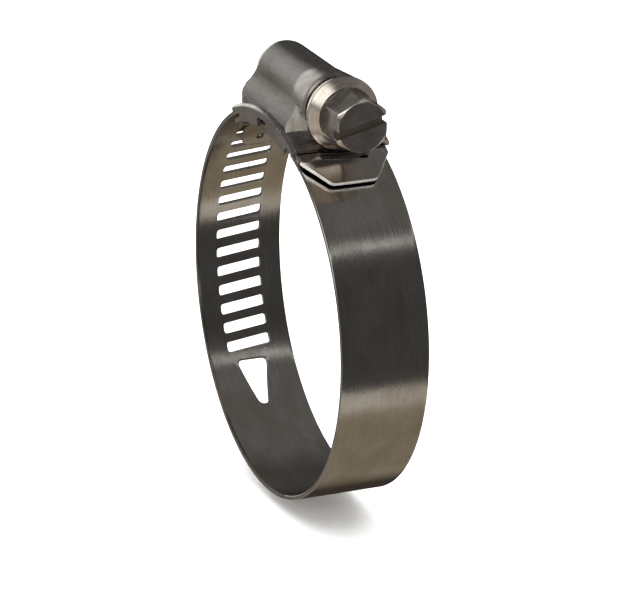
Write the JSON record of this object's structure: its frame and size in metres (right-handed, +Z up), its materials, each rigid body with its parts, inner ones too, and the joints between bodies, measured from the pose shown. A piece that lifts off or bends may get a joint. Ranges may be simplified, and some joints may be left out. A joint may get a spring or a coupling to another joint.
{
  "type": "hose clamp",
  "caption": "Worm-drive hose clamp: a slotted steel band with a teardrop hole, closed into a ring by a domed housing and a slotted hex-head screw.",
  "frame": {"origin": "centre of the hose seat, on the ring axis, at mid-width of the band", "axes": "+Y along the ring axis, +Z up through the housing, +X towards the screw head, parallel to the screw"},
  "size_m": [0.0598, 0.016, 0.0701],
  "materials": {
    "band_steel": "rolled stainless strip, lightly worn",
    "housing_steel": "pressed stainless sheet, semi-bright",
    "screw_steel": "plated steel, bright"
  },
  "bodies": {
    "housing_group": {"housing": "housing_steel", "saddle": "housing_steel", "band_head": "band_steel"},
    "screw": {"screw": "screw_steel"},
    "tail": {"band_tail": "band_steel"},
    "slotted_link_1": {"slotted_link_1": "band_steel"},
    "slotted_link_2": {"slotted_link_2": "band_steel"},
    "slotted_link_3": {"slotted_link_3": "band_steel"},
    "teardrop_link": {"teardrop_link": "band_steel"},
    "plain_link_1": {"plain_link_1": "band_steel"},
    "plain_link_2": {"plain_link_2": "band_steel"},
    "plain_link_8": {"plain_link_8": "band_steel"},
    "plain_link_7": {"plain_link_7": "band_steel"},
    "plain_link_6": {"plain_link_6": "band_steel"},
    "plain_link_5": {"plain_link_5": "band_steel"},
    "plain_link_4": {"plain_link_4": "band_steel"},
    "plain_link_3": {"plain_link_3": "band_steel"}
  },
  "joints": [
    {"name": "screw_turn", "type": "hinge", "parent": "housing_group", "child": "screw", "pos_m": [0, 0, 0.03457], "axis": [-1, 0, 0], "range_deg": [-720, 1080]},
    {"name": "tail_feed", "type": "hinge", "parent": "housing_group", "child": "tail", "pos_m": [0, 0, 0.00142], "axis": [0, 1, 0], "range_deg": [-12.13, 18.15]},
    {"name": "flex_slotted_link_1", "type": "hinge", "parent": "tail", "child": "slotted_link_1", "pos_m": [-0.0258, 0, 0.01578], "axis": [0, 1, 0], "range_deg": [-2.26, 1.54]},
    {"name": "flex_slotted_link_2", "type": "hinge", "parent": "slotted_link_1", "child": "slotted_link_2", "pos_m": [-0.02904, 0, 0.0071], "axis": [0, 1, 0], "range_deg": [-1.94, 1.33]},
    {"name": "flex_slotted_link_3", "type": "hinge", "parent": "slotted_link_2", "child": "slotted_link_3", "pos_m": [-0.02914, 0, -0.00522], "axis": [0, 1, 0], "range_deg": [-1.54, 1.06]},
    {"name": "flex_teardrop_link", "type": "hinge", "parent": "slotted_link_3", "child": "teardrop_link", "pos_m": [-0.02442, 0, -0.01659], "axis": [0, 1, 0], "range_deg": [-1.23, 0.86]},
    {"name": "flex_plain_link_1", "type": "hinge", "parent": "teardrop_link", "child": "plain_link_1", "pos_m": [-0.01553, 0, -0.02511], "axis": [0, 1, 0], "range_deg": [-1.05, 0.74]},
    {"name": "flex_plain_link_2", "type": "hinge", "parent": "plain_link_1", "child": "plain_link_2", "pos_m": [-0.00438, 0, -0.0292], "axis": [0, 1, 0], "range_deg": [-0.98, 0.69]},
    {"name": "flex_plain_link_8", "type": "hinge", "parent": "housing_group", "child": "plain_link_8", "pos_m": [0.01294, 0, 0.02654], "axis": [0, 1, 0], "range_deg": [-1.58, 2.32]},
    {"name": "flex_plain_link_7", "type": "hinge", "parent": "plain_link_8", "child": "plain_link_7", "pos_m": [0.02236, 0, 0.01929], "axis": [0, 1, 0], "range_deg": [-1.35, 1.98]},
    {"name": "flex_plain_link_6", "type": "hinge", "parent": "plain_link_7", "child": "plain_link_6", "pos_m": [0.02815, 0, 0.00891], "axis": [0, 1, 0], "range_deg": [-1.1, 1.6]},
    {"name": "flex_plain_link_5", "type": "hinge", "parent": "plain_link_6", "child": "plain_link_5", "pos_m": [0.02938, 0, -0.00291], "axis": [0, 1, 0], "range_deg": [-0.91, 1.31]},
    {"name": "flex_plain_link_4", "type": "hinge", "parent": "plain_link_5", "child": "plain_link_4", "pos_m": [0.02586, 0, -0.01426], "axis": [0, 1, 0], "range_deg": [-0.79, 1.13]},
    {"name": "flex_plain_link_3", "type": "hinge", "parent": "plain_link_4", "child": "plain_link_3", "pos_m": [0.01814, 0, -0.02329], "axis": [0, 1, 0], "range_deg": [-0.72, 1.03]}
  ],
  "couplings": [
    {"joint": "tail_feed", "follows": "screw_turn", "ratio": 0.016711},
    {"joint": "flex_slotted_link_1", "follows": "screw_turn", "ratio": -0.0019994},
    {"joint": "flex_slotted_link_2", "follows": "screw_turn", "ratio": -0.0017016},
    {"joint": "flex_slotted_link_3", "follows": "screw_turn", "ratio": -0.0013359},
    {"joint": "flex_teardrop_link", "follows": "screw_turn", "ratio": -0.0010505},
    {"joint": "flex_plain_link_1", "follows": "screw_turn", "ratio": -0.0008831},
    {"joint": "flex_plain_link_2", "follows": "screw_turn", "ratio": -0.0008149},
    {"joint": "flex_plain_link_8", "follows": "screw_turn", "ratio": 0.0020522},
    {"joint": "flex_plain_link_7", "follows": "screw_turn", "ratio": 0.0017377},
    {"joint": "flex_plain_link_6", "follows": "screw_turn", "ratio": 0.0013897},
    {"joint": "flex_plain_link_5", "follows": "screw_turn", "ratio": 0.0011223},
    {"joint": "flex_plain_link_4", "follows": "screw_turn", "ratio": 0.0009526},
    {"joint": "flex_plain_link_3", "follows": "screw_turn", "ratio": 0.0008576}
  ]
}
